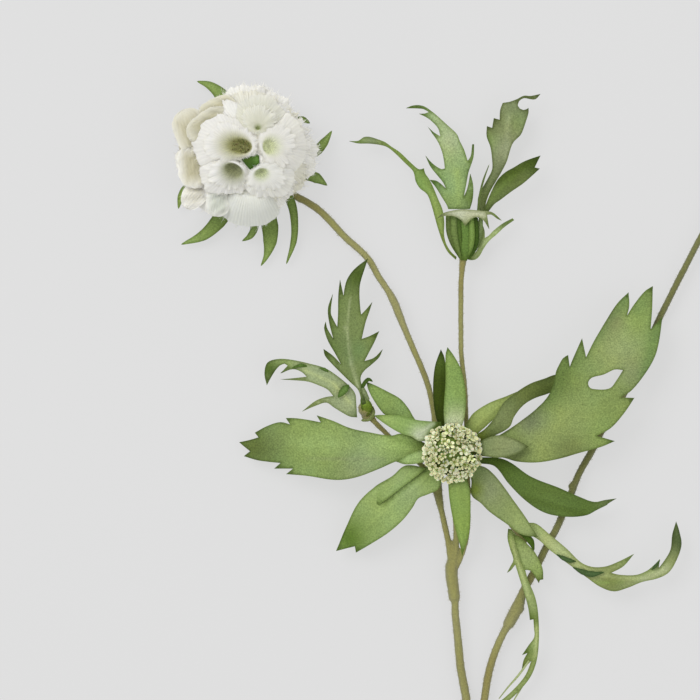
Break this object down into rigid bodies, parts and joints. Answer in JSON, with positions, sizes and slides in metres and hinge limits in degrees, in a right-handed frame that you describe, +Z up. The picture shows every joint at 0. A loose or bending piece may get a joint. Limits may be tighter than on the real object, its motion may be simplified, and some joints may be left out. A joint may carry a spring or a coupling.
{
  "type": "scabiosa flowering spray",
  "caption": "Cut branching scabiosa spray lying down, with one white bloom, a cream floret head in a whorl of cut leaves, leafy shoots and a closed bud.",
  "frame": {"origin": "centre of the bounding box at the surface that the spray lies on", "axes": "+Y along the main stem towards the bloom, +X to the right of the spray seen from above, +Z up from the surface"},
  "size_m": [0.2128, 0.4001, 0.0312],
  "materials": {
    "stem": "matt with fine fibres",
    "leaf_green": "matt with a fine grain",
    "leaf_dark": "matt with a fine grain",
    "leaf_pale": "matt with a fine grain",
    "leaf_grey": "matt with a fine grain",
    "petal": "matt, finely pleated",
    "floret": "matt"
  },
  "bodies": {
    "root": {"branching_stem": "stem", "bloom_petals": "petal", "head_florets": "floret", "head_leaf_left": "leaf_green", "head_leaf_low_left": "leaf_green", "head_bract_left": "leaf_green", "head_leaf_upper_left": "leaf_green", "head_leaf_folded": "leaf_pale", "head_leaf_top_dark": "leaf_dark", "head_leaf_top_light": "leaf_green", "head_leaf_upper_right": "leaf_pale", "head_leaf_arched": "leaf_dark", "head_leaf_large": "leaf_green", "head_bract_right": "leaf_grey", "head_leaf_dark": "leaf_dark", "head_leaf_low_right": "leaf_grey", "head_leaf_bottom": "leaf_pale", "upper_shoot_bud": "leaf_green", "upper_leaf_long": "leaf_pale", "upper_leaf_middle": "leaf_pale", "upper_leaf_bitten": "leaf_grey", "upper_leaf_split": "leaf_dark", "upper_leaf_sheath": "leaf_pale", "upper_leaf_arched": "leaf_grey", "left_leaf_upright": "leaf_grey", "left_leaf_arched": "leaf_grey", "lower_leaf_curved": "leaf_pale", "lower_leaf_hanging": "leaf_pale", "lower_leaf_short": "leaf_green", "side_bud": "leaf_green", "bloom_calyx": "leaf_green"}
  },
  "joints": []
}
